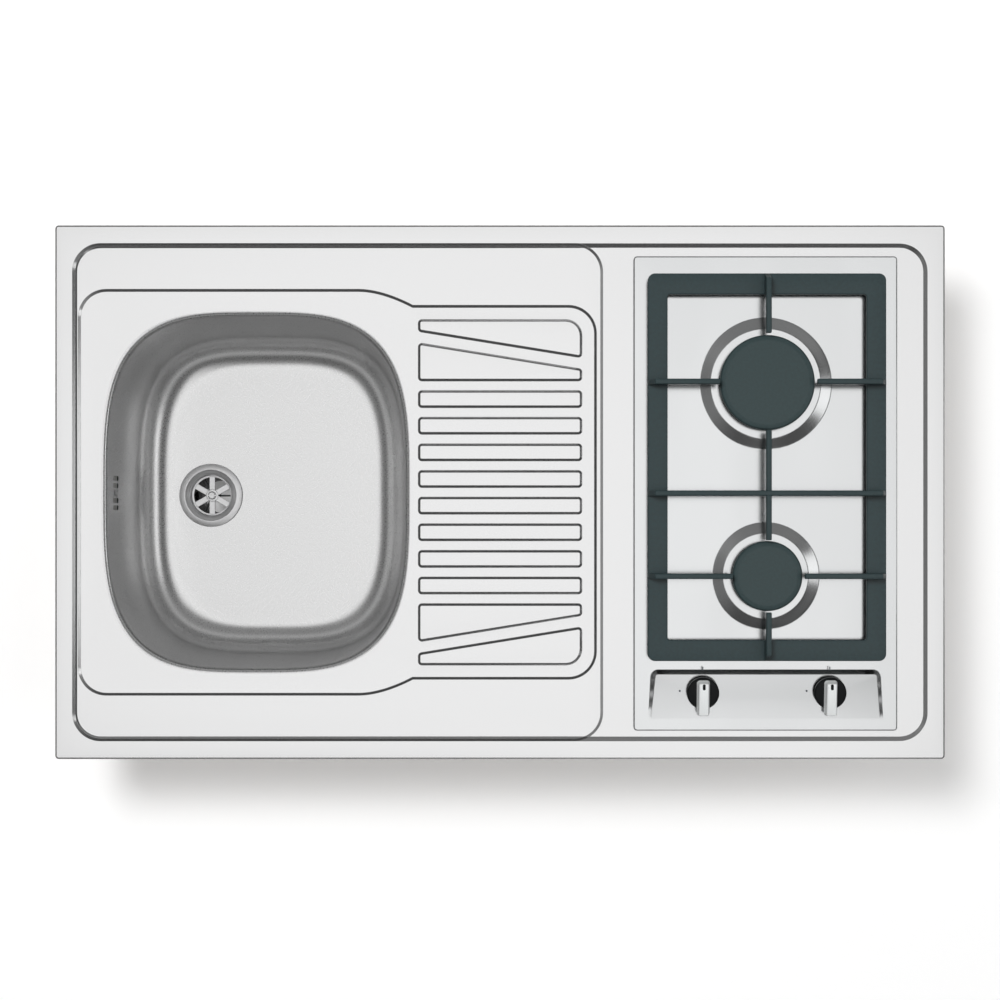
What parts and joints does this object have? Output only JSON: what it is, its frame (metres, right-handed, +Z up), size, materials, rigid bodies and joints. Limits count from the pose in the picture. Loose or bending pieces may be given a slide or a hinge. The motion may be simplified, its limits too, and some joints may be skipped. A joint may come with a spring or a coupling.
{
  "type": "kitchenette top with sink and gas hob",
  "caption": "Lay-on stainless kitchenette top: pressed bowl with strainer and overflow, ribbed drainer, and inset gas hob with lift-off pan support, burner caps and push-and-turn knobs.",
  "frame": {"origin": "middle of the top in plan, on the plane where its battens lie on the cabinet", "axes": "+X to the right as seen by someone standing at the sink, so from the bowl towards the hob; +Y to the back, +Z up"},
  "size_m": [1, 0.6, 0.266],
  "materials": {
    "top_steel": "pressed stainless steel, satin, pale grey",
    "bowl_steel": "deep-drawn stainless steel, satin",
    "hob_steel": "stainless steel, fine brushing, slightly cool",
    "bright_steel": "polished stainless steel",
    "galvanised_steel": "galvanised sheet with a faint spangle",
    "zinc_screw": "zinc-plated",
    "spring_steel": "plain steel",
    "pan_enamel": "satin enamel, dark grey with a green tint",
    "cap_enamel": "satin enamel, dark grey-green",
    "crown_aluminium": "die-cast, machined on top",
    "cast_aluminium": "die-cast, matt",
    "tap_brass": "machined brass",
    "knob_black": "black, smooth",
    "knob_silver": "silver-painted plastic, satin",
    "waste_plastic": "white polypropylene",
    "drain_plastic": "black polypropylene",
    "gasket_rubber": "black, matt",
    "foam_seal": "closed-cell foam strip",
    "bitumen_felt": "bitumen felt, matt",
    "chipboard": "raw chipboard"
  },
  "bodies": {
    "top": {"top_sheet": "top_steel", "sink_bowl": "bowl_steel", "sound_pad": "bitumen_felt", "waste_gasket_upper": "gasket_rubber", "waste_gasket_lower": "gasket_rubber", "waste_strainer": "bright_steel", "waste_screw": "bright_steel", "waste_body": "drain_plastic", "overflow_gasket": "gasket_rubber", "overflow_elbow": "waste_plastic", "overflow_screw": "bright_steel", "overflow_pipe": "waste_plastic", "batten_back": "chipboard", "batten_front": "chipboard", "batten_left": "chipboard", "batten_right": "chipboard", "batten_drainer": "chipboard", "batten_hob": "chipboard", "hob_plate": "hob_steel", "hob_seal": "foam_seal", "hob_tray": "galvanised_steel", "hob_clamp_1": "galvanised_steel", "hob_clamp_2": "galvanised_steel", "hob_clamp_3": "galvanised_steel", "hob_clamp_4": "galvanised_steel", "clamp_screw_1": "zinc_screw", "clamp_screw_2": "zinc_screw", "clamp_screw_3": "zinc_screw", "clamp_screw_4": "zinc_screw", "burner_cup_rear": "cast_aluminium", "burner_cup_front": "cast_aluminium", "injector_rear": "tap_brass", "injector_front": "tap_brass", "tap_body_left": "tap_brass", "tap_body_right": "tap_brass", "knob_seal_left": "gasket_rubber", "knob_seal_right": "gasket_rubber", "gas_pipe_rear": "cast_aluminium", "gas_pipe_front": "cast_aluminium", "gas_rail": "galvanised_steel", "gas_inlet": "tap_brass"},
    "tap_core_left": {"tap_plug_left": "tap_brass", "tap_spring_left": "spring_steel"},
    "knob_set_left": {"tap_spindle_left": "spring_steel", "knob_left": "knob_black", "knob_grip_left": "knob_silver"},
    "tap_core_right": {"tap_plug_right": "tap_brass", "tap_spring_right": "spring_steel"},
    "knob_set_right": {"tap_spindle_right": "spring_steel", "knob_right": "knob_black", "knob_grip_right": "knob_silver"},
    "pan_rack": {"pan_support": "pan_enamel", "pan_foot_1": "gasket_rubber", "pan_foot_2": "gasket_rubber", "pan_foot_3": "gasket_rubber", "pan_foot_4": "gasket_rubber"},
    "crown_rear": {"burner_crown_rear": "crown_aluminium"},
    "cap_rear": {"burner_cap_rear": "cap_enamel"},
    "crown_front": {"burner_crown_front": "crown_aluminium"},
    "cap_front": {"burner_cap_front": "cap_enamel"}
  },
  "joints": [
    {"name": "knob_turn_left", "type": "hinge", "parent": "top", "child": "tap_core_left", "pos_m": [0.227, -0.2237, 0.0467], "axis": [0, -0.1309, 0.9914], "range_deg": [0, 210]},
    {"name": "knob_push_left", "type": "slide", "parent": "tap_core_left", "child": "knob_set_left", "axis": [0, 0.1309, -0.9914], "range_m": [0, 0.003], "stiffness_N_per_m": 1000, "springref_m": -0.003, "deforming": ["tap_spring_left"]},
    {"name": "knob_turn_right", "type": "hinge", "parent": "top", "child": "tap_core_right", "pos_m": [0.369, -0.2237, 0.0467], "axis": [0, -0.1309, 0.9914], "range_deg": [0, 210]},
    {"name": "knob_push_right", "type": "slide", "parent": "tap_core_right", "child": "knob_set_right", "axis": [0, 0.1309, -0.9914], "range_m": [0, 0.003], "stiffness_N_per_m": 1000, "springref_m": -0.003, "deforming": ["tap_spring_right"]},
    {"name": "pan_support_lift", "type": "slide", "parent": "top", "child": "pan_rack", "axis": [0, 0, 1], "range_m": [0, 0.1]},
    {"name": "crown_lift_rear", "type": "slide", "parent": "top", "child": "crown_rear", "axis": [0, 0, 1], "range_m": [0, 0.06]},
    {"name": "cap_lift_rear", "type": "slide", "parent": "crown_rear", "child": "cap_rear", "axis": [0, 0, 1], "range_m": [0, 0.06]},
    {"name": "crown_lift_front", "type": "slide", "parent": "top", "child": "crown_front", "axis": [0, 0, 1], "range_m": [0, 0.06]},
    {"name": "cap_lift_front", "type": "slide", "parent": "crown_front", "child": "cap_front", "axis": [0, 0, 1], "range_m": [0, 0.06]}
  ]
}
